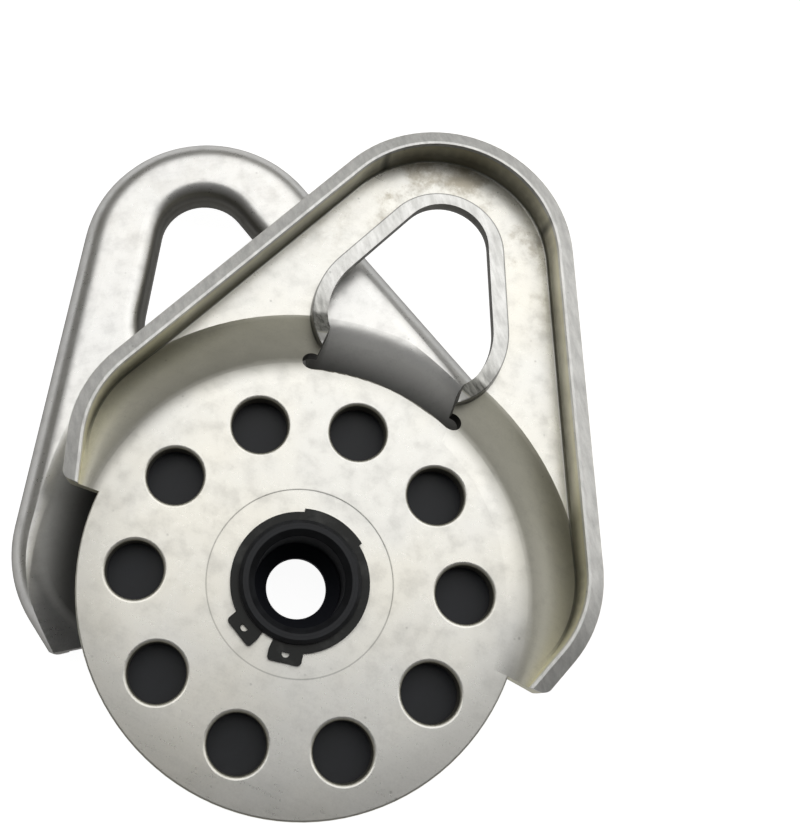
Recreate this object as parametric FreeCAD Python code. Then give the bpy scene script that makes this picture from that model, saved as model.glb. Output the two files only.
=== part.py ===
"""Snatch block: two identical pressed side plates that swing about a hollow axle, with a rope sheave between.

Millimetres and degrees. The origin is on the axle's centre line, halfway between the two side plates.
+Z runs along the axle towards the front plate, and +Y runs from the axle to the eye of the rear plate.
"""
import math
import os

import FreeCAD, Part
from FreeCAD import Vector

# Sheave: a moulded wheel for fibre rope, on a plain bearing bush.
sheave_radius = 68.0
sheave_width = 26.0
rope_radius = 7.0
groove_clearance = 0.5
groove_root_radius = 53.0
sheave_rim_width = 2.3
sheave_edge_round = 0.8
bush_wall = 3.5
bush_grease_groove = 4.0
bush_groove_depth = 0.7

# Axle: a hollow pin, bored from both ends to a thin web, with a circlip groove at each end.
axle_radius = 19.0
axle_fit = 0.05
axle_land = 2.4
axle_end_chamfer = 1.2
axle_bore_radius = 14.0
axle_mouth_chamfer = 2.0
axle_web = 3.0
web_hole_radius = 9.8
drill_point_angle = 59.0

# Circlips: external rings with plier holes in two lugs and a heavy back.
clip_thickness = 1.75
clip_seat_depth = 1.0
clip_groove_slack = 0.1
clip_band = 3.7
clip_back = 1.1
clip_back_angle = 27.0
clip_gap_angle = 5.6
clip_lug_angle = 19.5
clip_lug_width = 10.6
clip_lug_reach = 24.9
clip_lug_round = 1.2
clip_hole_reach = 22.1
clip_hole_radius = 1.2
front_clip_angle = 224.0
rear_clip_angle = -60.0

# Thrust washers between the sheave and the plates.
washer_thickness = 1.0
washer_radius = 28.0
side_clearance = 0.05

# Side plate, pressed from one sheet. The disc is raised, the neck lies near the middle plane.
plate_thickness = 5.5
neck_gap = 0.8
disc_overhang = 1.5
slope_run = 23.0
slope_top_bend = 18.0
slope_foot_bend = 16.0
slope_crease_bend = 16.0
boss_seat_radius = 29.15
boss_seat_depth = 0.3

# Outline of the plate and the flange that is turned out along it.
head_reach = 169.3
head_radius = 45.8
shoulder_reach = 20.6
shoulder_height = 27.0
shoulder_radius = 42.0
shoulder_lean_angle = 20.0
flange_height = 12.2
flange_draft = 1.0
flange_bend = 11.5
flange_bevel_width = 4.6
flange_bevel_drop = 1.8
flange_groove_round = 0.8
flange_end_round = 4.0

# Eye for the shackle: a rounded triangle that stands on the disc's edge, with a drawn collar.
eye_reach = 144.3
eye_head_radius = 15.8
eye_corner_height = 97.0
eye_corner_offset = 4.1
eye_corner_radius = 24.7
eye_foot_half_width = 24.2
eye_notch_radius = 3.2
collar_wall = 5.3
collar_crown_wall = 3.9
collar_height = 5.0
collar_end_reach = 4.5
collar_bend = 7.0

# Ten lightening holes with rounded rims, their ring turned a little from the plate's own axis.
hole_count = 10
hole_ring_radius = 51.5
hole_ring_angle = 1.9
hole_radius = 9.0
hole_rim_round = 1.2

# Rounding of pressed and cut edges.
cut_edge_round = 0.6

# Angle from the rear plate to the front plate, opened for loading a rope.
front_plate_angle = -38.3

# Radii and widths that follow the sheave.
disc_radius = sheave_radius + disc_overhang
shoulder_half_width = disc_radius + shoulder_reach
collar_end_height = disc_radius + collar_end_reach

# Levels along the axle, worked out from the sizes above.
disc_inner = sheave_width / 2 + washer_thickness + 2 * side_clearance
disc_outer = disc_inner + plate_thickness
neck_inner = neck_gap / 2
neck_outer = neck_inner + plate_thickness
flange_top = neck_outer + flange_height
dish_depth = disc_inner - neck_inner
slope_angle = math.atan2(dish_depth, slope_run)
slope_foot_radius = disc_radius + slope_run
clip_inner = disc_outer - boss_seat_depth + side_clearance
clip_outer = clip_inner + clip_thickness
axle_end = clip_outer + clip_groove_slack + axle_land
clip_seat_radius = axle_radius - clip_seat_depth
plate_bore_radius = axle_radius + axle_fit

# Far beyond the plate, for the tools that cut through it, and a hair's breadth that keeps two faces apart.
beyond = 2 * head_reach
hair = 0.02


def polar(radius, angle):
    """Point at a radius and an angle in degrees from +X."""
    return Vector(radius * math.cos(math.radians(angle)), radius * math.sin(math.radians(angle)), 0)


def arc(centre, radius, start, end):
    """Arc edge round a centre in the XY plane, anticlockwise from start to end in degrees."""
    middle = (start + end) / 2
    points = [centre + polar(radius, angle) for angle in (start, middle, end)]
    return Part.Arc(*points).toShape()


def belt(circles):
    """Closed outline like a belt drawn round circles (x, y, radius), listed anticlockwise."""
    count = len(circles)
    normals = []
    for index in range(count):
        x1, y1, r1 = circles[index]
        x2, y2, r2 = circles[(index + 1) % count]
        distance = math.hypot(x2 - x1, y2 - y1)
        heading = math.degrees(math.atan2(y2 - y1, x2 - x1))
        normals.append(heading - math.degrees(math.acos((r1 - r2) / distance)))
    edges = []
    for index in range(count):
        x, y, radius = circles[index]
        centre = Vector(x, y, 0)
        start = normals[index - 1]
        sweep = (normals[index] - start) % 360
        edges.append(arc(centre, radius, start, start + sweep))
        next_x, next_y, next_radius = circles[(index + 1) % count]
        line_start = centre + polar(radius, normals[index])
        line_end = Vector(next_x, next_y, 0) + polar(next_radius, normals[index])
        edges.append(Part.makeLine(line_start, line_end))
    return Part.Wire(edges)


def prism(wire, low, high):
    """Solid between two levels with a flat outline."""
    face = Part.Face(wire)
    face.translate(Vector(0, 0, low))
    return face.extrude(Vector(0, 0, high - low))


def flared_prism(low_wire, high_wire, low, high):
    """Solid between two levels whose walls lean from one outline to another of the same kind."""
    low_ring = low_wire.copy()
    low_ring.translate(Vector(0, 0, low))
    high_ring = high_wire.copy()
    high_ring.translate(Vector(0, 0, high))
    return Part.makeLoft([low_ring, high_ring], True, True)


def rounded_profile(corners):
    """Closed profile in the XZ plane from corners (radius, height, rounding)."""
    count = len(corners)
    points = [Vector(r, 0, z) for r, z, _ in corners]
    edges = []
    last = None
    first = None
    for index in range(count):
        point = points[index]
        rounding = corners[index][2]
        before = points[index - 1] - point
        after = points[(index + 1) % count] - point
        if rounding > 0:
            half = before.getAngle(after) / 2
            reach = rounding / math.tan(half)
            before.normalize()
            after.normalize()
            bisector = before + after
            bisector.normalize()
            middle = point + bisector * (rounding / math.sin(half) - rounding)
            start = point + before * reach
            end = point + after * reach
            bend = Part.Arc(start, middle, end).toShape()
        else:
            start = point
            end = point
            bend = None
        if last is not None:
            edges.append(Part.makeLine(last, start))
        else:
            first = start
        if bend is not None:
            edges.append(bend)
        last = end
    edges.append(Part.makeLine(last, first))
    return Part.Wire(edges)


def turned(corners):
    """Solid of revolution about the axle from a closed profile of (radius, height, rounding)."""
    face = Part.Face(rounded_profile(corners))
    return face.revolve(Vector(0, 0, 0), Vector(0, 0, 1), 360)


def rod(radius, low, high, x=0.0, y=0.0):
    """Upright cylinder between two levels."""
    return Part.makeCylinder(radius, high - low, Vector(x, y, low))


def edges_at(solid, level):
    """Edges that lie in the horizontal plane at a level."""
    found = []
    for edge in solid.Edges:
        box = edge.BoundBox
        if abs(box.ZMin - level) < 1e-4 and abs(box.ZMax - level) < 1e-4:
            found.append(edge)
    return found


def middle_of(edge):
    """Point halfway along an edge."""
    return Part.Vertex(edge.valueAt((edge.FirstParameter + edge.LastParameter) / 2))


def outline(inset):
    """Outline of the plate's upper half, moved inwards by an inset and carried on below the axle."""
    lean = math.radians(shoulder_lean_angle)
    head_x = 0.0
    head_y = head_reach - head_radius
    shoulder_x = shoulder_half_width - shoulder_radius
    drop = 2 * shoulder_height
    low_x = shoulder_x - drop * math.sin(lean)
    low_y = shoulder_height - drop * math.cos(lean)
    radius = shoulder_radius - inset
    return belt([
        (low_x, low_y, radius),
        (shoulder_x, shoulder_height, radius),
        (head_x, head_y, head_radius - inset),
        (-shoulder_x, shoulder_height, radius),
        (-low_x, low_y, radius),
    ])


def flange_outline(inset, level):
    """Outline at a level: the flange leans outwards by its draft, up to its cut end."""
    lean = flange_draft * (flange_top - level) / (flange_top - neck_inner)
    return outline(inset + lean)


def eye_outline(inset):
    """Outline of the eye's arch. The collar is thinner over the crown than along its sides."""
    head_y = eye_reach - eye_head_radius
    side = math.radians(eye_side_angle())
    crown_inset = inset * collar_crown_wall / collar_wall
    drop = (crown_inset - inset) / (math.sin(side) - 1)
    head = (0.0, head_y + drop, eye_head_radius - crown_inset - drop)
    corner = eye_corner_radius - inset
    return belt([
        (eye_corner_offset, eye_corner_height, corner),
        head,
        (-eye_corner_offset, eye_corner_height, corner),
    ])


def eye_side_angle():
    """Slope of the line where the eye's side is tangent to its head and its corner."""
    head_y = eye_reach - eye_head_radius
    rise = head_y - eye_corner_height
    distance = math.hypot(rise, eye_corner_offset)
    heading = math.degrees(math.atan2(rise, -eye_corner_offset))
    return heading - math.degrees(math.acos((eye_corner_radius - eye_head_radius) / distance))


def above_sheet(top, shift, run, top_bend, foot_bend, foot):
    """Everything above one face of the dished sheet, as a turned solid."""
    start = disc_radius - shift
    end = start + run
    return turned([
        (0.0, beyond, 0),
        (0.0, top, 0),
        (start, top, top_bend),
        (end, foot, foot_bend),
        (beyond, foot, 0),
        (beyond, beyond, 0),
    ])


def dished_sheet_faces():
    """Everything above the sheet's inner face, and everything above its outer face."""
    shift = plate_thickness * math.tan(slope_angle / 2)
    inner_bend = slope_top_bend - plate_thickness
    over_inner = above_sheet(disc_inner, shift, slope_run, inner_bend, slope_foot_bend, neck_inner - hair)
    sunk = plate_thickness / 4
    longer = slope_run * (dish_depth + sunk) / dish_depth
    over_outer = above_sheet(disc_outer, 0.0, longer, slope_top_bend, slope_crease_bend, neck_outer - sunk)
    return over_inner, over_outer


def collar_block():
    """Raised block round the eye, before the eye is cut through it. It follows the sheet's slope."""
    crest = disc_outer - cut_edge_round
    top = neck_outer + collar_height
    crest_radius = slope_foot_radius - (crest - top) * slope_run / dish_depth
    cap = turned([
        (0.0, beyond, 0),
        (0.0, crest, 0),
        (crest_radius, crest, collar_height),
        (slope_foot_radius, top, collar_height),
        (beyond, top, 0),
        (beyond, beyond, 0),
    ])
    middle = above_sheet(
        disc_outer - plate_thickness / 2,
        0.0,
        slope_run,
        0.0,
        0.0,
        neck_outer - plate_thickness / 2,
    )
    block = prism(eye_outline(-collar_wall), neck_inner, disc_outer)
    ends = Part.makeBox(beyond, beyond, beyond, Vector(-beyond / 2, collar_end_height, -beyond / 2))
    return block.common(middle).cut(cap).common(ends)


def eye_cutter():
    """Tool for the eye: its arch, its foot along the disc's edge, two notches and the collar's rear bend."""
    arch = prism(eye_outline(0.0), -plate_thickness, beyond)
    below = prism(eye_outline(-3 * collar_bend), -2 * plate_thickness, neck_inner)
    tool = arch.fuse(below)
    bend_edges = []
    for edge in edges_at(tool, neck_inner):
        if arch.distToShape(middle_of(edge))[0] < 1e-4:
            bend_edges.append(edge)
    tool = tool.makeFillet(collar_bend, bend_edges)
    foot = Part.makeBox(
        2 * eye_foot_half_width,
        eye_corner_height,
        beyond,
        Vector(-eye_foot_half_width, 0, -plate_thickness),
    )
    foot = foot.cut(rod(disc_radius, -beyond, 2 * beyond))
    foot = foot.cut(Part.makeBox(beyond, beyond, 3 * beyond, Vector(-beyond / 2, eye_corner_height, -beyond)))
    tool = tool.fuse(foot)
    notch_x = eye_foot_half_width + eye_notch_radius / 4
    notch_y = math.sqrt((disc_radius + eye_notch_radius) ** 2 - notch_x ** 2)
    for side in (-1, 1):
        tool = tool.fuse(rod(eye_notch_radius, -plate_thickness, beyond, side * notch_x, notch_y))
    return tool.cut(rod(disc_radius, -beyond, 2 * beyond))


def end_corner(side):
    """Tool that rounds the corner, seen along the axle, where the flange ends at one side of the plate."""
    lean = math.radians(shoulder_lean_angle)
    shoulder_x = shoulder_half_width - shoulder_radius
    inset = shoulder_radius - flange_end_round
    x = shoulder_x + (inset + (flange_end_round - shoulder_height) * math.sin(lean)) / math.cos(lean)
    tool = sector(4 * flange_end_round, -90, -shoulder_lean_angle, 0, disc_outer)
    tool = tool.cut(rod(flange_end_round, 0, disc_outer))
    tool.translate(Vector(x, flange_end_round, 0))
    if side < 0:
        tool = tool.mirror(Vector(0, 0, 0), Vector(1, 0, 0))
    return tool


def lightening_hole(angle):
    """Tool for one lightening hole, with the rounded rim that the punch leaves on the outer face."""
    tool = turned([
        (0.0, 0.0, 0),
        (hole_radius, 0.0, 0),
        (hole_radius, disc_outer, hole_rim_round),
        (hole_radius + 2 * hole_rim_round, disc_outer, 0),
        (hole_radius + 2 * hole_rim_round, disc_outer + plate_thickness, 0),
        (0.0, disc_outer + plate_thickness, 0),
    ])
    tool.translate(polar(hole_ring_radius, angle))
    return tool


def flat_disc():
    """Flat part of the disc: its lower half, and the tongue that the eye's foot leaves in its upper half."""
    disc = turned([
        (0.0, disc_inner, 0),
        (disc_radius, disc_inner, cut_edge_round),
        (disc_radius, disc_outer, cut_edge_round),
        (0.0, disc_outer, 0),
    ])
    for x in (-eye_foot_half_width - beyond, eye_foot_half_width):
        disc = disc.cut(Part.makeBox(beyond, beyond, beyond, Vector(x, 0, 0)))
    return disc


def side_plate():
    """One pressing, with its disc raised towards +Z and its eye towards +Y."""
    over_inner, over_outer = dished_sheet_faces()
    upper_half = Part.makeBox(beyond, beyond, 2 * beyond, Vector(-beyond / 2, 0, -beyond))

    bevel_foot = flange_top - flange_bevel_drop
    shoulder = flange_outline(0.0, bevel_foot)
    blank = flared_prism(flange_outline(0.0, neck_inner), shoulder, neck_inner, bevel_foot)
    blank = blank.makeFillet(flange_bend, edges_at(blank, neck_inner))
    blank = blank.fuse(flared_prism(shoulder, outline(flange_bevel_width), bevel_foot, flange_top))
    if disc_outer > flange_top:
        crown = rod(slope_foot_radius, flange_top, disc_outer)
        blank = blank.fuse(crown.cut(over_outer))
    plate = blank.common(upper_half).common(over_inner)

    crest = disc_outer + plate_thickness
    groove = flared_prism(
        flange_outline(plate_thickness, neck_outer),
        flange_outline(plate_thickness, crest),
        neck_outer,
        crest,
    )
    groove = groove.makeFillet(flange_groove_round, edges_at(groove, neck_outer))
    plate = plate.cut(groove.common(over_outer))
    plate = plate.fuse(flat_disc())

    plate = plate.fuse(collar_block())
    plate = plate.cut(eye_cutter())
    for index in range(hole_count):
        plate = plate.cut(lightening_hole(90 + hole_ring_angle + index * 360 / hole_count))
    plate = plate.cut(rod(plate_bore_radius, 0, beyond))
    plate = plate.cut(rod(boss_seat_radius, disc_outer - boss_seat_depth, beyond))
    for side in (-1, 1):
        plate = plate.cut(end_corner(side))
    return plate.removeSplitter()


def sheave():
    """Wheel with a rope groove. It has flat sides and is bored for its bush."""
    half = sheave_width / 2
    groove_radius = rope_radius + groove_clearance
    centre = groove_root_radius + groove_radius
    lip = half - sheave_rim_width
    to_lip = math.hypot(sheave_radius - centre, lip)
    flare = math.atan2(lip, sheave_radius - centre) + math.acos(groove_radius / to_lip) - math.pi / 2
    flank_radius = centre - groove_radius * math.sin(flare)
    flank_height = groove_radius * math.cos(flare)
    bush_outer = plate_bore_radius + bush_wall
    blank = turned([
        (bush_outer, -half, 0),
        (sheave_radius, -half, sheave_edge_round),
        (sheave_radius, half, sheave_edge_round),
        (bush_outer, half, 0),
    ])
    start = Vector(flank_radius, 0, -flank_height)
    bottom = Vector(groove_root_radius, 0, 0)
    end = Vector(flank_radius, 0, flank_height)
    outside = 2 * sheave_radius - flank_radius
    reach = flank_height + (outside - flank_radius) * math.tan(flare)
    groove = Part.Wire([
        Part.Arc(start, bottom, end).toShape(),
        Part.makeLine(end, Vector(outside, 0, reach)),
        Part.makeLine(Vector(outside, 0, reach), Vector(outside, 0, -reach)),
        Part.makeLine(Vector(outside, 0, -reach), start),
    ])
    wheel = blank.cut(Part.Face(groove).revolve(Vector(0, 0, 0), Vector(0, 0, 1), 360))
    lips = edges_at(wheel, lip) + edges_at(wheel, -lip)
    return wheel.makeFillet(sheave_edge_round, lips)


def sheave_bush():
    """Plain bearing bush, as long as the sheave is wide, with a grease groove inside."""
    half = sheave_width / 2
    outer = plate_bore_radius + bush_wall
    bush = rod(outer, -half, half).cut(rod(plate_bore_radius, -half, half))
    grease = turned([
        (0.0, -bush_grease_groove / 2, 0),
        (plate_bore_radius, -bush_grease_groove / 2, 0),
        (plate_bore_radius + bush_groove_depth, 0.0, bush_groove_depth),
        (plate_bore_radius, bush_grease_groove / 2, 0),
        (0.0, bush_grease_groove / 2, 0),
    ])
    return bush.cut(grease)


def axle():
    """Hollow pin with a circlip groove near each end, drilled from both ends down to a thin web."""
    pin = rod(axle_radius, -axle_end, axle_end)
    pin = pin.makeChamfer(axle_end_chamfer, edges_at(pin, axle_end) + edges_at(pin, -axle_end))
    point = (axle_bore_radius - web_hole_radius) / math.tan(math.radians(drill_point_angle))
    web_side = axle_web / 2
    drill = turned([
        (0.0, web_side, 0),
        (web_hole_radius, web_side, 0),
        (axle_bore_radius, web_side + point, 0),
        (axle_bore_radius, axle_end - axle_mouth_chamfer, 0),
        (axle_bore_radius + axle_mouth_chamfer, axle_end, 0),
        (axle_bore_radius + axle_mouth_chamfer, 2 * axle_end, 0),
        (0.0, 2 * axle_end, 0),
    ])
    groove_low = clip_inner - clip_groove_slack / 2
    groove_high = clip_outer + clip_groove_slack / 2
    groove = rod(2 * axle_radius, groove_low, groove_high).cut(rod(clip_seat_radius, groove_low, groove_high))
    for tool in (drill, groove):
        pin = pin.cut(tool)
        pin = pin.cut(tool.mirror(Vector(0, 0, 0), Vector(0, 0, 1)))
    return pin.cut(rod(web_hole_radius, -axle_web, axle_web))


def circlip():
    """External ring, open towards +X, with two drilled lugs and a thicker back opposite the gap."""
    band = clip_seat_radius + clip_band
    ring = rod(band, clip_inner, clip_outer)
    back = sector(band + clip_back, 180 - clip_back_angle, 180 + clip_back_angle, clip_inner, clip_outer)
    ring = ring.fuse(back)
    lug_corner = Vector(0, -clip_lug_width / 2, clip_inner)
    lug = Part.makeBox(clip_lug_reach, clip_lug_width, clip_thickness, lug_corner)
    corners = []
    for edge in lug.Edges:
        box = edge.BoundBox
        if box.XMin > clip_lug_reach - hair and box.ZLength > hair:
            corners.append(edge)
    lug = lug.makeFillet(clip_lug_round, corners)
    lug = lug.cut(rod(clip_hole_radius, clip_inner, clip_outer, clip_hole_reach))
    for side in (-1, 1):
        ring = ring.fuse(about_axle(lug, side * clip_lug_angle))
    ring = ring.cut(rod(clip_seat_radius, clip_inner, clip_outer))
    ring = ring.cut(sector(2 * band, -clip_gap_angle, clip_gap_angle, clip_inner, clip_outer))
    return ring.removeSplitter()


def sector(radius, start, end, low, high):
    """Slice of a disc between two angles and two levels."""
    first = polar(radius, start)
    last = polar(radius, end)
    edges = [
        Part.makeLine(Vector(0, 0, 0), first),
        arc(Vector(0, 0, 0), radius, start, end),
        Part.makeLine(last, Vector(0, 0, 0)),
    ]
    return prism(Part.Wire(edges), low, high)


def thrust_washer():
    """Plain washer between the sheave and a side plate."""
    low = sheave_width / 2 + side_clearance
    high = low + washer_thickness
    return rod(washer_radius, low, high).cut(rod(plate_bore_radius, low, high))


def about_axle(shape, angle):
    """Copy of a piece turned about the axle."""
    copy = shape.copy()
    copy.rotate(Vector(0, 0, 0), Vector(0, 0, 1), angle)
    return copy


def to_rear(shape):
    """Copy of a piece turned over, from the front side to the rear."""
    copy = shape.copy()
    copy.rotate(Vector(0, 0, 0), Vector(0, 1, 0), 180)
    return copy


def build():
    """Every piece in its place, by name."""
    plate = side_plate()
    clip = circlip()
    washer = thrust_washer()
    return {
        "side_plate_front": about_axle(plate, front_plate_angle),
        "side_plate_rear": to_rear(plate),
        "sheave": sheave(),
        "sheave_bush": sheave_bush(),
        "axle_pin": axle(),
        "circlip_front": about_axle(clip, front_clip_angle),
        "circlip_rear": about_axle(to_rear(clip), rear_clip_angle),
        "thrust_washer_front": washer,
        "thrust_washer_rear": to_rear(washer),
    }


os.makedirs("parts", exist_ok=True)
for name, shape in build().items():
    print(name, shape.isValid(), len(shape.Solids), round(shape.Volume, 1))
    shape.exportStep("parts/" + name + ".step")
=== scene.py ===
"""Looks of a snatch block: satin plated side plates, a black nylon wheel, a blackened axle with its circlips.

Metres. The origin is on the axle's centre line, halfway between the side plates, and +Z points to the front plate.
"""
import math

import bpy
from mathutils import Euler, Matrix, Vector


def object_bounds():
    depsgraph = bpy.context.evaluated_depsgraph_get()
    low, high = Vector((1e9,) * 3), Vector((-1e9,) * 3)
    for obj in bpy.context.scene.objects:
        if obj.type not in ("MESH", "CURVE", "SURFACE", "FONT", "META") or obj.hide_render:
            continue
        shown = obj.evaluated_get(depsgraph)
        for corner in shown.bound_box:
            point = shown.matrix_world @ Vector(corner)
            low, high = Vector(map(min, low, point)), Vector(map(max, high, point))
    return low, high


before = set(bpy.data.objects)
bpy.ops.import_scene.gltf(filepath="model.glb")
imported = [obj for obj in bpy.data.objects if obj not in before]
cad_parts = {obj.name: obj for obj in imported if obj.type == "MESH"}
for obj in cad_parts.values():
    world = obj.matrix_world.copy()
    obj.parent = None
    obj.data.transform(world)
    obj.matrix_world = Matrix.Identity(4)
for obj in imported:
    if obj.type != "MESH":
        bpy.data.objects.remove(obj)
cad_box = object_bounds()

mm = 0.001

# Camera, at the height and turn from which the photograph was taken.
camera_place = (-34.3 * mm, -34.6 * mm, 389.1 * mm)
camera_turn = (17.80, -2.07, -14.36)
camera_lens = 51.2
camera_sensor = 36.0
camera_near = 0.01
camera_shift = (0.165, -0.081)

# Studio: a pale floor under the block, a weak lamp, and a sky that is bright overhead and dim at the horizon.
floor_half_width = 1.6
floor_gap = 0.02 * mm
floor_tone = 0.42
floor_shown = 0.95
floor_mirrored = 0.4
lamp_place = (0.45, 0.45, 0.80)
lamp_size = 0.60
lamp_power = 0.15
soft_box_side = (0.37, 0.93, 0.0)
soft_box_foot = (0.20, 0.0, 1.0)
soft_box_edge = (0.015, 0.08)
soft_box_rise = (0.38, 0.66)
soft_box_glow = (1.36, 1.18)
glow_change = (0.10, 0.34)
dome_rise = (0.20, 0.92)

# Side plates as they are in the solids, in millimetres. Circles are (x, y, radius), with y along the plate.
front_plate_turn = -38.3
rear_plate_turn = 0.0
plate_circles = ((48.1, 27.0, 42.0), (0.0, 123.5, 45.8))
collar_circles = ((4.1, 97.0, 30.0), (0.0, 126.16, 22.04))
neck_level = 5.9
bevel_level = (16.3, 16.4)
collar_levels = (neck_level + 0.4, 16.0)
wall_crease_shade_levels = (neck_level - 0.3, bevel_level[0])
seat_radius = 29.15
bore_radius = 14.1

# Where a plate's finish and its painted shade change, each a start and an end in millimetres. First the radii from
# the axle.
rim_shade_start = (50.0, 69.5)
hole_wall_end = (64.0, 66.0)
disc_bend_shade_start = (64.5, 70.5)
rim_shade_end = (70.0, 76.0)
disc_bend_shade_end = (72.0, 78.0)
disc_end = (76.0, 76.6)
dish_end = (96.0, 99.0)

# Places along the plate, from the axle towards the eye.
rim_shade_fade = (0.0, 45.0)
disc_bend_shade_fade = (6.0, 24.0)
wall_crease_shade_fade = (6.0, 26.0)
slope_end_fade = (8.0, 52.0)
eye_reach = (62.0, 150.0)
rolled_start = (71.0, 75.0)
collar_start = (72.0, 73.0)
collar_outline_shade_start = (74.0, 78.0)
collar_end_shade_reach = (84.0, 100.0)
stain_start = (104.0, 140.0)

# Distances outside the plate's outline, outside the collar's, from the plate's middle line and from the seat's ring.
dish_inset = (-13.0, -9.0)
wall_crease_shade_band = (-6.9, -5.85)
collar_edge = (-0.2, 0.0)
collar_outline_shade_band = (-0.35, 0.45)
rolled_edge = (2.5, 4.0)
eye_half_width = (30.0, 32.0)
seat_step_shade_edge = (0.10, 0.32)

# How upright a face's normal is where the sheet counts as tilted, rolled or steep.
tilted_normal = (0.86, 0.985)
rolled_normal = (0.72, 0.97)
steep_normal = (0.25, 0.72)

# How much painted shade darkens the plating in its fine lines, where the disc bends into the slope and towards the
# disc's rim.
seat_step_shade_depth = 0.34
collar_outline_shade_depth = 0.66
wall_crease_shade_depth = 0.55
disc_bend_shade_depth = 0.18
rim_shade_depth = 0.22


def rgb(red, green, blue):
    """Opaque colour."""
    return (red, green, blue, 1.0)


# Tints of the plating, with painted shade on slopes and walls and painted light at the front slope's low end. The
# rear plate shows its other side, where the dish falls away and is painted darker.
front_tints = {
    "warm": rgb(0.93, 0.91, 0.84),
    "cool": rgb(0.90, 0.895, 0.86),
    "stain": rgb(0.44, 0.40, 0.32),
    "stain share": 0.9,
    # Painted shade on the tilted slope, and painted light at its low end by the axle.
    "slope low": rgb(0.60, 0.59, 0.52),
    "slope high": rgb(0.60, 0.59, 0.51),
    "slope radii": (72.0, 92.0),
    "slope end": rgb(0.88, 0.865, 0.78),
    "end share": 1.0,
    # Painted shade and painted reflection on steep walls, olive.
    "wall": rgb(0.80, 0.775, 0.62),
    "worked roughness": 0.14,
    "worked metal": 0.85,
}
rear_tints = {
    "warm": rgb(0.93, 0.925, 0.905),
    "cool": rgb(0.90, 0.90, 0.89),
    "stain": rgb(0.66, 0.64, 0.60),
    "stain share": 0.3,
    # Painted shade on the rear slope, darkest next to the disc, with a little of another tint at its low end.
    "slope low": rgb(0.12, 0.12, 0.116),
    "slope high": rgb(0.97, 0.97, 0.95),
    "slope radii": (74.0, 90.0),
    "slope end": rgb(0.42, 0.415, 0.40),
    "end share": 0.15,
    # Painted shade on the rear plate's steep walls.
    "wall": rgb(0.34, 0.33, 0.31),
    "worked roughness": 0.20,
    "worked metal": 0.45,
}
plating_roughness = 0.29
plating_metal = 0.85
sheared_streaks = (rgb(0.70, 0.70, 0.69), rgb(0.88, 0.88, 0.865))
polished_streaks = (rgb(0.64, 0.64, 0.625), rgb(0.86, 0.86, 0.85))
# Brushed streaks at the collar's lower end, painted dark as shade towards the notch.
brushed_and_shaded_streaks = (rgb(0.15, 0.15, 0.14), rgb(0.56, 0.56, 0.53))
# Painted shade on the walls of the disc's holes.
hole_wall_shade = rgb(0.30, 0.29, 0.25)
# Painted shade on the inner side where the sheet rolls round the eye's collar.
rolled_bend_shade = rgb(0.28, 0.275, 0.26)
# Painted shade on the eye's steep walls, near black.
eye_wall_shade = rgb(0.13, 0.125, 0.11)

# Tints of the other pieces, dark then light.
nylon_tints = (rgb(0.016, 0.018, 0.022), rgb(0.023, 0.025, 0.031))
washer_tints = (rgb(0.030, 0.031, 0.032), rgb(0.046, 0.047, 0.048))
bronze_tints = (rgb(0.50, 0.33, 0.16), rgb(0.66, 0.46, 0.25))
axle_tints = (rgb(0.016, 0.017, 0.020), rgb(0.036, 0.039, 0.046))
spring_tints = (rgb(0.016, 0.017, 0.017), rgb(0.040, 0.041, 0.040))
spring_rub = rgb(0.085, 0.086, 0.084)
bore_soot = rgb(0.030, 0.032, 0.040)


def socket_of(tree, value, target):
    """Feeds a socket with another node's output, a number or a colour."""
    if isinstance(value, bpy.types.NodeSocket):
        tree.links.new(value, target)
    elif value is not None:
        target.default_value = value


def add(tree, kind, inputs=None, **settings):
    """Adds a node, sets its properties and feeds its inputs by name or number."""
    made = tree.nodes.new(kind)
    for name, value in settings.items():
        setattr(made, name, value)
    for key, value in (inputs or {}).items():
        socket_of(tree, value, made.inputs[key])
    return made


def calc(tree, operation, first, second=None, third=None, clamp=False):
    """Output of one sum."""
    made = add(tree, "ShaderNodeMath", {0: first, 1: second, 2: third}, operation=operation, use_clamp=clamp)
    return made.outputs[0]


def product(tree, first, *others):
    """Product of several masks or values."""
    for other in others:
        first = calc(tree, "MULTIPLY", first, other)
    return first


def weighted(tree, start, *pairs):
    """Start, plus each value times its weight."""
    for value, weight in pairs:
        start = calc(tree, "MULTIPLY_ADD", value, weight, start)
    return start


def lessen(tree, value, mask, share):
    """Value, less a share of itself where a mask is 1."""
    return product(tree, value, calc(tree, "SUBTRACT", 1.0, product(tree, mask, share)))


def spread(tree, value, low, high, out_low=0.0, out_high=1.0, smooth=False):
    """Maps a value from one range to another, and holds it at the ends."""
    made = add(
        tree,
        "ShaderNodeMapRange",
        {0: value, 1: low, 2: high, 3: out_low, 4: out_high},
        interpolation_type="SMOOTHSTEP" if smooth else "LINEAR",
        clamp=True,
    )
    return made.outputs[0]


def rise(tree, value, ends, unit=mm, smooth=False):
    """Mask that goes from 0 to 1 between two limits, in millimetres unless another unit is given."""
    return spread(tree, value, ends[0] * unit, ends[1] * unit, smooth=smooth)


def fall(tree, value, ends, unit=mm, start=1.0):
    """Mask that goes from 1, or another start, to 0 between two limits."""
    return spread(tree, value, ends[0] * unit, ends[1] * unit, start, 0.0)


def band(tree, value, ends, blur):
    """Mask that is 1 between two limits in millimetres, with soft ends."""
    low, high = ends
    return product(tree, rise(tree, value, (low - blur, low + blur)), fall(tree, value, (high - blur, high + blur)))


def dot(tree, first, second):
    """Dot product of two vectors."""
    return add(tree, "ShaderNodeVectorMath", {0: first, 1: second}, operation="DOT_PRODUCT").outputs["Value"]


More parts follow.
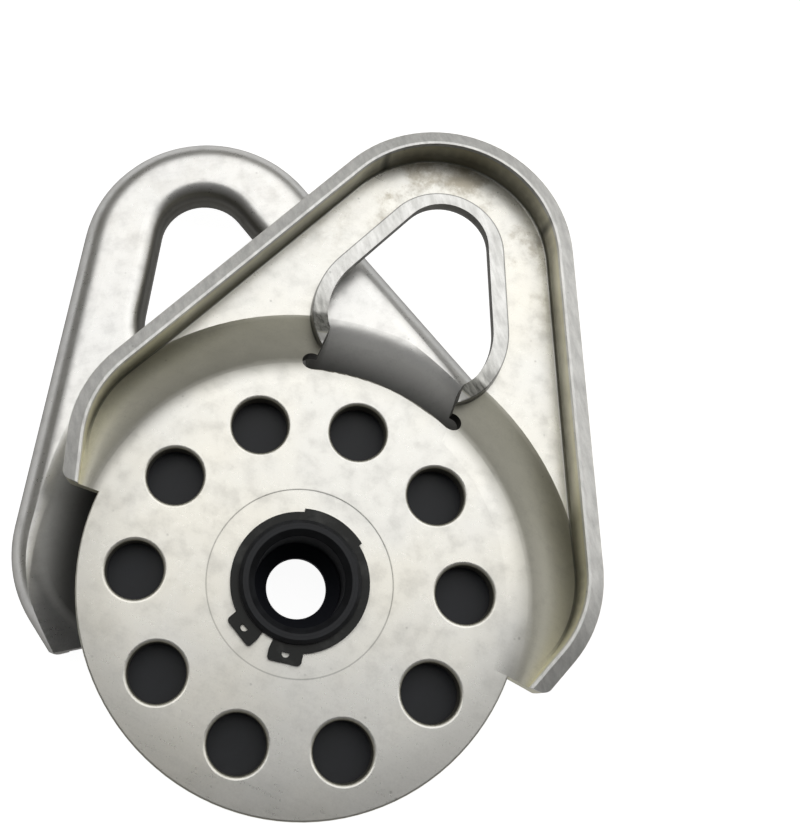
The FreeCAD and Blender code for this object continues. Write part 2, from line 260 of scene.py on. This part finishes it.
def radius_of(tree, place):
    """Distance of a place from the axle's centre line."""
    parts = add(tree, "ShaderNodeSeparateXYZ", {0: place})
    spot = add(tree, "ShaderNodeCombineXYZ", {0: parts.outputs["X"], 1: parts.outputs["Y"], 2: 0.0})
    return add(tree, "ShaderNodeVectorMath", {0: spot.outputs[0]}, operation="LENGTH").outputs["Value"]


def blend_numbers(tree, share, first, second):
    """Mix of two numbers by a share."""
    made = tree.nodes.new("ShaderNodeMix")
    for value, socket in ((share, 0), (first, 2), (second, 3)):
        socket_of(tree, value, made.inputs[socket])
    return made.outputs[0]


def blend_colours(tree, share, first, second, kind="MIX"):
    """Mix of two colours by a share."""
    made = tree.nodes.new("ShaderNodeMix")
    made.data_type = "RGBA"
    made.blend_type = kind
    for value, socket in ((share, 0), (first, 6), (second, 7)):
        socket_of(tree, value, made.inputs[socket])
    return made.outputs[2]


def noise(tree, place, waves, detail=4.0, roughness=0.6, distortion=0.0):
    """Soft noise, from 0 to 1, at so many waves per metre."""
    made = add(
        tree,
        "ShaderNodeTexNoise",
        {"Vector": place, "Scale": waves, "Detail": detail, "Roughness": roughness, "Distortion": distortion},
    )
    return made.outputs["Fac"]


def turned_place(tree, angle=0.0, stretch=(1.0, 1.0, 1.0)):
    """Object coordinates, turned about the axle and stretched."""
    place = add(tree, "ShaderNodeTexCoord").outputs["Object"]
    made = add(tree, "ShaderNodeMapping", {"Vector": place})
    made.inputs["Rotation"].default_value = (0.0, 0.0, math.radians(-angle))
    made.inputs["Scale"].default_value = stretch
    return made.outputs["Vector"]


def emboss(tree, shader, height, strength, depth):
    """Feeds a shader's normal with a bump of a depth in millimetres."""
    bump = add(tree, "ShaderNodeBump", {"Height": height, "Strength": strength, "Distance": depth * mm})
    tree.links.new(bump.outputs[0], shader.inputs["Normal"])


def new_material(name):
    """Material with a Principled shader on its output; returns it with its tree and shader."""
    material = bpy.data.materials.new(name)
    material.use_nodes = True
    tree = material.node_tree
    tree.nodes.clear()
    shader = tree.nodes.new("ShaderNodeBsdfPrincipled")
    output = tree.nodes.new("ShaderNodeOutputMaterial")
    tree.links.new(shader.outputs["BSDF"], output.inputs["Surface"])
    return material, tree, shader


def new_group(name, inputs, outputs):
    """Shader node group; inputs are (name, kind, default), outputs (name, kind)."""
    group = bpy.data.node_groups.new(name, "ShaderNodeTree")
    for title, kind, value in inputs:
        made = group.interface.new_socket(title, in_out="INPUT", socket_type="NodeSocket" + kind)
        if value is not None:
            made.default_value = value
    for title, kind in outputs:
        group.interface.new_socket(title, in_out="OUTPUT", socket_type="NodeSocket" + kind)
    return group, group.nodes.new("NodeGroupInput"), group.nodes.new("NodeGroupOutput")


def place_group(tree, group, inputs):
    """Puts a group in a tree and feeds its inputs."""
    made = tree.nodes.new("ShaderNodeGroup")
    made.node_tree = group
    for key, value in inputs.items():
        socket_of(tree, value, made.inputs[key])
    return made.outputs


def plating_group():
    """Plated steel's small changes: cloudy patches, fine mottle, rolled grain and pits."""
    group, source, result = new_group(
        "plated steel marks",
        [("Place", "Vector", None), ("Mottle", "Float", 0.5), ("Grain", "Float", 0.5), ("Pits", "Float", 0.5)],
        [("Clouds", "Float"), ("Tone", "Float"), ("Rough", "Float"), ("Height", "Float")],
    )
    place = source.outputs["Place"]
    patches = noise(group, place, waves=170.0, detail=6.0, roughness=0.62)
    fine = noise(group, place, waves=1500.0, detail=3.0)
    fine_swing = calc(group, "SUBTRACT", fine, 0.5)
    rolled_place = add(group, "ShaderNodeVectorMath", {0: place, 1: (40.0, 900.0, 200.0)}, operation="MULTIPLY")
    rolled_swing = calc(group, "SUBTRACT", noise(group, rolled_place.outputs[0], waves=1.0), 0.5)

    mottle = product(group, spread(group, patches, 0.42, 0.72, smooth=True), source.outputs["Mottle"])
    grain = product(group, rolled_swing, source.outputs["Grain"])
    pit_cells = add(group, "ShaderNodeTexVoronoi", {"Vector": place, "Scale": 260.0, "Randomness": 1.0})
    pit_spot = fall(group, pit_cells.outputs["Distance"], (0.05, 0.16), unit=1.0)
    pit_pick = spread(group, noise(group, place, waves=95.0, detail=2.0, roughness=0.5), 0.60, 0.66)
    pits = product(group, pit_spot, pit_pick, source.outputs["Pits"])

    tone = weighted(group, 1.0, (mottle, -0.11), (grain, 0.16), (fine_swing, 0.16))
    results = {
        "Clouds": noise(group, place, waves=24.0, detail=3.0, roughness=0.5),
        "Tone": calc(group, "MULTIPLY_ADD", pits, -0.45, tone, clamp=True),
        "Rough": weighted(group, 0.0, (mottle, 0.10), (grain, 0.12), (fine_swing, 0.10)),
        "Height": weighted(group, 0.0, (fine, 0.35), (patches, 0.8), (pits, -1.5)),
    }
    for title, value in results.items():
        group.links.new(value, result.inputs[title])
    return group


def turning_group():
    """Rings that a lathe tool leaves about the axle."""
    group, source, result = new_group(
        "lathe rings",
        [("Place", "Vector", None), ("Rings per metre", "Float", 2500.0), ("Wander", "Float", 0.3)],
        [("Tone", "Float"), ("Height", "Float")],
    )
    place = source.outputs["Place"]
    level = add(group, "ShaderNodeSeparateXYZ", {0: place}).outputs["Z"]
    along = calc(group, "ADD", radius_of(group, place), level)
    drift = product(group, noise(group, place, waves=60.0, detail=2.0, roughness=0.55), source.outputs["Wander"])
    phase = calc(group, "MULTIPLY_ADD", along, source.outputs["Rings per metre"], drift)
    ring_place = add(group, "ShaderNodeCombineXYZ", {0: phase, 1: 0.0, 2: 0.0})
    ring = noise(group, ring_place.outputs[0], waves=1.0, detail=3.0)
    group.links.new(spread(group, ring, 0.3, 0.7), result.inputs["Tone"])
    group.links.new(ring, result.inputs["Height"])
    return group


def belt_group():
    """Distance outside a rounded outline whose straight sides run from a low circle to a high one."""
    group, source, result = new_group(
        "distance from an outline",
        [
            ("Place", "Vector", None),
            ("Low centre", "Vector", None),
            ("High centre", "Vector", None),
            ("Side", "Vector", None),
            ("Low radius", "Float", 0.03),
            ("High radius", "Float", 0.02),
        ],
        [("Distance", "Float")],
    )
    low_centre, high_centre = source.outputs["Low centre"], source.outputs["High centre"]
    parts = add(group, "ShaderNodeSeparateXYZ", {0: source.outputs["Place"]})
    across = calc(group, "ABSOLUTE", parts.outputs["X"])
    spot = add(group, "ShaderNodeCombineXYZ", {0: across, 1: parts.outputs["Y"], 2: 0.0}).outputs[0]
    share = spread(group, *[dot(group, place, source.outputs["Side"]) for place in (spot, low_centre, high_centre)])
    centre = add(group, "ShaderNodeMix", data_type="VECTOR")
    for value, socket in ((share, 0), (low_centre, 4), (high_centre, 5)):
        socket_of(group, value, centre.inputs[socket])
    radius = spread(group, share, 0.0, 1.0, source.outputs["Low radius"], source.outputs["High radius"])
    reach = add(group, "ShaderNodeVectorMath", {0: spot, 1: centre.outputs[1]}, operation="DISTANCE")
    group.links.new(calc(group, "SUBTRACT", reach.outputs["Value"], radius), result.inputs["Distance"])
    return group


def outline_distance(tree, group, place, low, high):
    """Distance outside the outline round two circles (x, y, radius), in millimetres, and their mirror images."""
    gap = math.hypot(high[0] - low[0], high[1] - low[1])
    heading = math.atan2(high[1] - low[1], high[0] - low[0])
    normal = heading - math.acos((low[2] - high[2]) / gap)
    inputs = {
        "Place": place,
        "Low centre": (low[0] * mm, low[1] * mm, 0.0),
        "High centre": (high[0] * mm, high[1] * mm, 0.0),
        "Side": (-math.sin(normal), math.cos(normal), 0.0),
        "Low radius": low[2] * mm,
        "High radius": high[2] * mm,
    }
    return place_group(tree, group, inputs)["Distance"]


def plate_masks(tree, belt, place, tints):
    """Masks of a side plate's features and of its painted shade, in the plate's own frame."""
    parts = add(tree, "ShaderNodeSeparateXYZ", {0: place})
    across = calc(tree, "ABSOLUTE", parts.outputs["X"])
    along = parts.outputs["Y"]
    level = calc(tree, "ABSOLUTE", parts.outputs["Z"])
    radius = radius_of(tree, place)
    facing = add(tree, "ShaderNodeSeparateXYZ", {0: add(tree, "ShaderNodeNewGeometry").outputs["Normal"]})
    upright = calc(tree, "ABSOLUTE", facing.outputs["Z"])
    off_plate = outline_distance(tree, belt, place, *plate_circles)
    off_collar = outline_distance(tree, belt, place, *collar_circles)
    off_seat = calc(tree, "ABSOLUTE", calc(tree, "SUBTRACT", radius, seat_radius * mm))

    outer_face = rise(tree, product(tree, facing.outputs["Z"], parts.outputs["Z"]), (0.0, 0.1))
    inner_face = calc(tree, "SUBTRACT", 1.0, outer_face)
    tilted = fall(tree, upright, tilted_normal, unit=1.0)
    rolled = fall(tree, upright, rolled_normal, unit=1.0)
    steep = fall(tree, upright, steep_normal, unit=1.0)
    beyond_disc = rise(tree, radius, disc_end)
    # Tilted sheet of the dish, where painted shade goes.
    inner_dish = product(tree, tilted, fall(tree, off_plate, dish_inset), fall(tree, radius, dish_end))
    collar_face = product(tree, band(tree, level, collar_levels, 0.2), fall(tree, off_collar, collar_edge))
    collar = product(tree, collar_face, rise(tree, along, collar_start))
    # Painted shade along the collar's outline, where its edge meets the neck.
    collar_outline_shade = band(tree, off_collar, collar_outline_shade_band, 0.15)
    # Painted shade in the crease at the foot of the flange's wall.
    wall_crease_shade = product(
        tree, band(tree, off_plate, wall_crease_shade_band, 0.15), band(tree, level, wall_crease_shade_levels, 0.1), beyond_disc
    )
    # Painted shade where the disc bends into the slope, softening the change.
    disc_bend_shade = product(tree, rise(tree, radius, disc_bend_shade_start, smooth=True), fall(tree, radius, disc_bend_shade_end))
    # Painted shade towards the disc's rim, strongest on the side away from the eye.
    rim_shade = product(tree, rise(tree, radius, rim_shade_start, smooth=True), fall(tree, radius, rim_shade_end))
    return {
        "outer face": outer_face,
        "steep": steep,
        "dish": calc(tree, "MAXIMUM", inner_dish, product(tree, tilted, outer_face)),
        "slope": rise(tree, radius, tints["slope radii"], smooth=True),
        "slope end": fall(tree, along, slope_end_fade, start=tints["end share"]),
        "stain": rise(tree, along, stain_start),
        # Steep walls of the disc's holes, painted with shade.
        "hole wall": product(tree, steep, fall(tree, radius, hole_wall_end)),
        # Steep walls round the eye, painted with shade.
        "eye wall": product(tree, steep, band(tree, along, eye_reach, 1.0), fall(tree, across, eye_half_width)),
        "bevel": product(tree, rise(tree, level, bevel_level), beyond_disc),
        "collar": collar,
        # Collar's lower end, brushed and darkened with painted shade.
        "collar end": product(tree, collar, fall(tree, along, collar_end_shade_reach)),
        # Inner side of the bend round the collar, painted with shade.
        "rolled": product(
            tree, rolled, inner_face, fall(tree, off_collar, rolled_edge), rise(tree, along, rolled_start)
        ),
        # Painted shade in the corner of the seat's step.
        "seat step shade": fall(tree, off_seat, seat_step_shade_edge),
        "collar outline shade": product(tree, collar_outline_shade, rise(tree, along, collar_outline_shade_start)),
        "wall crease shade": product(tree, wall_crease_shade, rise(tree, along, wall_crease_shade_fade, smooth=True)),
        "disc bend shade": product(tree, disc_bend_shade, rise(tree, along, disc_bend_shade_fade)),
        "rim shade": product(tree, rim_shade, fall(tree, along, rim_shade_fade)),
    }


def plate_colour(tree, place, angle, masks, clouds, tints):
    """Colour of a side plate: cloudy plating, then each stained or worked place, and painted shade on slopes, walls
    and bends, laid over it.
    """
    streak_place = turned_place(tree, angle, stretch=(1.0, 0.25, 1.0))
    streaks = spread(tree, noise(tree, streak_place, waves=520.0), 0.35, 0.68)
    stains = spread(tree, noise(tree, place, waves=62.0, detail=6.0, roughness=0.66), 0.45, 0.66, smooth=True)
    # Painted shade on the dish's tilted sheet, changing with the radius, and painted light at the front slope's low
    # end.
    slope = blend_colours(tree, masks["slope"], tints["slope low"], tints["slope high"])
    slope = blend_colours(tree, masks["slope end"], slope, tints["slope end"])
    layers = (
        (product(tree, stains, masks["stain"], tints["stain share"]), tints["stain"]),
        # Painted shade on the slopes, with painted light at the front slope's low end.
        (masks["dish"], slope),
        # Painted shade on steep walls.
        (masks["steep"], tints["wall"]),
        # Painted shade in the disc's holes.
        (masks["hole wall"], hole_wall_shade),
        (masks["bevel"], blend_colours(tree, streaks, *sheared_streaks)),
        (masks["collar"], blend_colours(tree, streaks, *polished_streaks)),
        # Brushed streaks with painted shade at the collar's end.
        (masks["collar end"], blend_colours(tree, streaks, *brushed_and_shaded_streaks)),
        # Painted shade on the bend round the collar.
        (masks["rolled"], rolled_bend_shade),
        # Painted shade on the eye's walls.
        (masks["eye wall"], eye_wall_shade),
    )
    colour = blend_colours(tree, spread(tree, clouds, 0.38, 0.62), tints["warm"], tints["cool"])
    for mask, tint in layers:
        colour = blend_colours(tree, mask, colour, tint)
    return colour


def plate_tone(tree, masks, tone):
    """Tone of a side plate, darkened by painted shade in its fine lines, where the disc bends into the slope and
    towards the disc's rim.
    """
    # Painted shade along the collar's outline and in the crease at the wall's foot.
    collar_outline_shade = product(tree, masks["collar outline shade"], collar_outline_shade_depth)
    wall_crease_shade = product(tree, masks["wall crease shade"], wall_crease_shade_depth)
    # Painted shade in the corner of the seat's step.
    tone = lessen(tree, tone, masks["seat step shade"], seat_step_shade_depth)
    tone = lessen(tree, tone, calc(tree, "MAXIMUM", collar_outline_shade, wall_crease_shade), masks["outer face"])
    # Painted shade where the disc bends into the slope and towards the disc's rim.
    for mask, depth in ((masks["disc bend shade"], disc_bend_shade_depth), (masks["rim shade"], rim_shade_depth)):
        tone = lessen(tree, tone, mask, product(tree, masks["outer face"], depth))
    return add(tree, "ShaderNodeCombineColor", {0: tone, 1: tone, 2: tone}).outputs[0]


def plated_steel(name, groups, angle, tints):
    """Satin plating on a pressed plate: rougher, and darkened with painted shade, where the sheet was bent, cooler
    where it was sheared.
    """
    material, tree, shader = new_material(name)
    place = turned_place(tree, angle)
    marks = place_group(tree, groups["plating"], {"Place": place, "Mottle": 0.8, "Grain": 0.6, "Pits": 0.6})
    masks = plate_masks(tree, groups["belt"], place, tints)
    colour = plate_colour(tree, place, angle, masks, marks["Clouds"], tints)
    colour = blend_colours(tree, 1.0, colour, plate_tone(tree, masks, marks["Tone"]), kind="MULTIPLY")
    worked = calc(tree, "MAXIMUM", calc(tree, "MAXIMUM", masks["bevel"], masks["steep"]), masks["dish"])
    rough = calc(tree, "ADD", marks["Rough"], plating_roughness)
    rough = calc(tree, "MULTIPLY_ADD", worked, tints["worked roughness"], rough, clamp=True)
    metal = spread(tree, masks["dish"], 0.0, 1.0, plating_metal, tints["worked metal"])
    tree.links.new(colour, shader.inputs["Base Color"])
    tree.links.new(rough, shader.inputs["Roughness"])
    tree.links.new(metal, shader.inputs["Metallic"])
    emboss(tree, shader, marks["Height"], strength=0.30, depth=0.03)
    return material


def turned_metal(name, group, tints, roughness, metallic, bore=0.0):
    """Turned metal with lathe rings in its tone, gloss and relief, and soot inside a bore of a given radius."""
    material, tree, shader = new_material(name)
    place = turned_place(tree)
    marks = place_group(tree, group, {"Place": place, "Rings per metre": 2500.0, "Wander": 0.4})
    worn = noise(tree, place, waves=220.0, detail=5.0, roughness=0.65)
    share = product(tree, marks["Tone"], spread(tree, worn, 0.35, 0.7))
    inside = fall(tree, radius_of(tree, place), (bore, bore + 0.1))
    rough = spread(tree, worn, 0.3, 0.7, roughness - 0.06, roughness + 0.08)
    rough = calc(tree, "MAXIMUM", rough, product(tree, inside, 0.7))
    colour = blend_colours(tree, inside, blend_colours(tree, share, *tints), bore_soot)
    tree.links.new(colour, shader.inputs["Base Color"])
    tree.links.new(rough, shader.inputs["Roughness"])
    tree.links.new(spread(tree, inside, 0.0, 1.0, metallic, 1.0), shader.inputs["Metallic"])
    emboss(tree, shader, marks["Height"], strength=0.5, depth=0.04)
    return material


def moulded_plastic(name, tints, roughness, grain):
    """Moulded plastic: a satin skin with a fine eggshell texture and faint flow marks."""
    material, tree, shader = new_material(name)
    place = turned_place(tree)
    flow = noise(tree, place, waves=55.0, distortion=1.2)
    tree.links.new(blend_colours(tree, spread(tree, flow, 0.35, 0.65), *tints), shader.inputs["Base Color"])
    tree.links.new(spread(tree, flow, 0.3, 0.7, roughness - 0.05, roughness + 0.07), shader.inputs["Roughness"])
    shader.inputs["Specular IOR Level"].default_value = 0.4
    emboss(tree, shader, noise(tree, place, waves=grain, detail=3.0, roughness=0.5), strength=0.25, depth=0.05)
    return material


def blackened_spring(name):
    """Phosphated spring steel of the circlips: black, a little worn on its flats."""
    material, tree, shader = new_material(name)
    place = turned_place(tree)
    coat = noise(tree, place, waves=700.0, detail=5.0, roughness=0.65)
    rub = spread(tree, noise(tree, place, waves=130.0), 0.52, 0.72, 0.0, 0.5)
    colour = blend_colours(tree, rub, blend_colours(tree, coat, *spring_tints), spring_rub)
    tree.links.new(colour, shader.inputs["Base Color"])
    tree.links.new(spread(tree, coat, 0.3, 0.7, 0.36, 0.52), shader.inputs["Roughness"])
    shader.inputs["Metallic"].default_value = 0.6
    emboss(tree, shader, coat, strength=0.3, depth=0.04)
    return material


def dress_nodes():
    """Gives every solid its finish."""
    groups = {"plating": plating_group(), "belt": belt_group()}
    rings = turning_group()
    spring = blackened_spring("blackened_spring")
    washer = moulded_plastic("washer_plastic", washer_tints, roughness=0.38, grain=2600.0)
    finishes = {
        "side_plate_front": plated_steel("plating_front", groups, front_plate_turn, front_tints),
        "side_plate_rear": plated_steel("plating_rear", groups, rear_plate_turn, rear_tints),
        "sheave": moulded_plastic("nylon", nylon_tints, roughness=0.50, grain=1800.0),
        "sheave_bush": turned_metal("bearing_bronze", rings, bronze_tints, roughness=0.30, metallic=1.0),
        "axle_pin": turned_metal("blackened_axle", rings, axle_tints, roughness=0.44, metallic=0.4, bore=bore_radius),
        "circlip_front": spring,
        "circlip_rear": spring,
        "thrust_washer_front": washer,
        "thrust_washer_rear": washer,
    }
    for name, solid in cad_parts.items():
        solid.data.materials.clear()
        solid.data.materials.append(finishes[name])


def studio_floor():
    """Plain pale floor under the block. What looks at it directly or in a reflection sees it white."""
    level = cad_box[0][2] - floor_gap
    w = floor_half_width
    mesh = bpy.data.meshes.new("floor")
    mesh.from_pydata([(-w, -w, level), (w, -w, level), (w, w, level), (-w, w, level)], [], [(0, 1, 2, 3)])
    floor = bpy.data.objects.new("floor", mesh)
    bpy.context.scene.collection.objects.link(floor)
    material, tree, shader = new_material("floor_paper")
    shader.inputs["Base Color"].default_value = rgb(floor_tone, floor_tone, floor_tone)
    shader.inputs["Roughness"].default_value = 1.0
    shader.inputs["Specular IOR Level"].default_value = 0.0
    shader.inputs["Emission Color"].default_value = rgb(1.0, 1.0, 1.0)
    seen = add(tree, "ShaderNodeLightPath")
    mirrored = product(tree, seen.outputs["Is Glossy Ray"], floor_mirrored)
    direct = calc(tree, "MAXIMUM", seen.outputs["Is Camera Ray"], seen.outputs["Is Transmission Ray"])
    shown = product(tree, calc(tree, "MAXIMUM", direct, mirrored), floor_shown)
    tree.links.new(shown, shader.inputs["Emission Strength"])
    floor.data.materials.append(material)


def studio_sky():
    """World light: a broad soft box above, towards the top right, and a dim room round it."""
    world = bpy.data.worlds.new("studio")
    bpy.context.scene.world = world
    world.use_nodes = True
    tree = world.node_tree
    tree.nodes.clear()
    way = add(tree, "ShaderNodeTexCoord").outputs["Generated"]
    height = add(tree, "ShaderNodeSeparateXYZ", {0: way}).outputs["Z"]
    aside = dot(tree, way, soft_box_side)
    box_edge = rise(tree, aside, soft_box_edge, unit=1.0, smooth=True)
    box_foot = rise(tree, dot(tree, way, soft_box_foot), soft_box_rise, unit=1.0, smooth=True)
    box = product(tree, box_edge, box_foot)
    dome = rise(tree, height, dome_rise, unit=1.0, smooth=True)
    room = blend_colours(tree, dome, rgb(0.070, 0.067, 0.055), rgb(0.10, 0.10, 0.10))
    glow = spread(tree, aside, *glow_change, *soft_box_glow)
    light = blend_colours(tree, box, room, rgb(1.0, 0.99, 0.965))
    sky = add(tree, "ShaderNodeBackground", {"Color": light, "Strength": blend_numbers(tree, box, 1.0, glow)})
    output = tree.nodes.new("ShaderNodeOutputWorld")
    tree.links.new(sky.outputs[0], output.inputs["Surface"])


def studio_lamp():
    """Soft square lamp that looks at the block."""
    light = bpy.data.lights.new("key_lamp", "AREA")
    light.shape = "SQUARE"
    light.size = lamp_size
    light.energy = lamp_power
    lamp = bpy.data.objects.new("key_lamp", light)
    lamp.location = lamp_place
    lamp.rotation_euler = (-Vector(lamp_place)).to_track_quat("-Z", "Y").to_euler()
    bpy.context.scene.collection.objects.link(lamp)


def studio_camera():
    """Camera at the photograph's viewing angle."""
    lens = bpy.data.cameras.new("camera")
    lens.lens = camera_lens
    lens.sensor_width = camera_sensor
    lens.shift_x, lens.shift_y = camera_shift
    lens.clip_start = camera_near
    camera = bpy.data.objects.new("camera", lens)
    camera.location = camera_place
    camera.rotation_euler = Euler([math.radians(angle) for angle in camera_turn])
    bpy.context.scene.collection.objects.link(camera)
    bpy.context.scene.camera = camera


studio_camera()
bpy.context.scene.view_settings.view_transform = "Standard"
dress_nodes()
studio_floor()
studio_sky()
studio_lamp()
